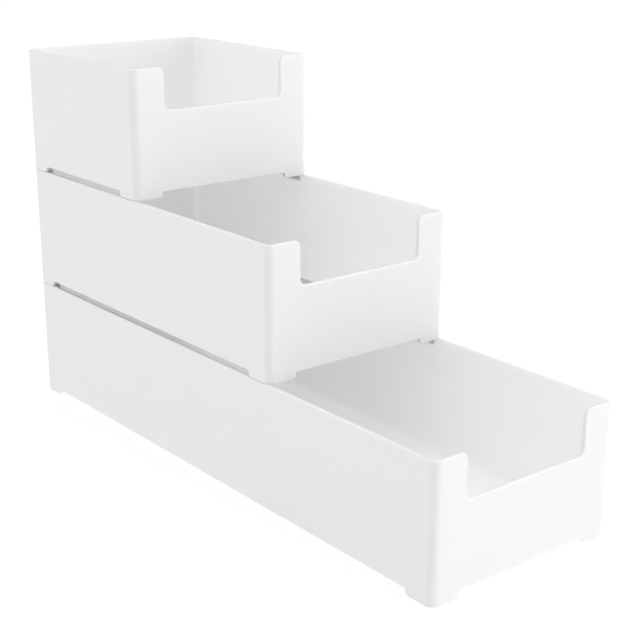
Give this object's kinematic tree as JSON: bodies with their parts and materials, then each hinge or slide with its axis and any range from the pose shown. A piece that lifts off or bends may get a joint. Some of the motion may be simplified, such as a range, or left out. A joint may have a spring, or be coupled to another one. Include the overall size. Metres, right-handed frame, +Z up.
{
  "type": "stacking open-front storage bins",
  "caption": "Open-front storage bins of equal width stacked in steps as a tiered riser, each lifting off the rim of the one below.",
  "frame": {"origin": "on the ground, under the middle of the stack's plan", "axes": "+Z up, -Y towards the notched fronts, +X to the right seen from the front"},
  "size_m": [0.1, 0.3, 0.1798],
  "materials": {
    "lower_plastic": "smooth satin white moulded polypropylene",
    "middle_plastic": "smooth satin white moulded polypropylene",
    "top_plastic": "smooth satin white moulded polypropylene"
  },
  "bodies": {
    "lower": {"lower_bin": "lower_plastic"},
    "middle": {"middle_bin": "middle_plastic"},
    "top": {"top_bin": "top_plastic"}
  },
  "joints": [
    {"name": "middle_lift", "type": "slide", "parent": "lower", "child": "middle", "axis": [0, 0, 1], "range_m": [0, 0.08]},
    {"name": "top_lift", "type": "slide", "parent": "middle", "child": "top", "axis": [0, 0, 1], "range_m": [0, 0.08]}
  ]
}
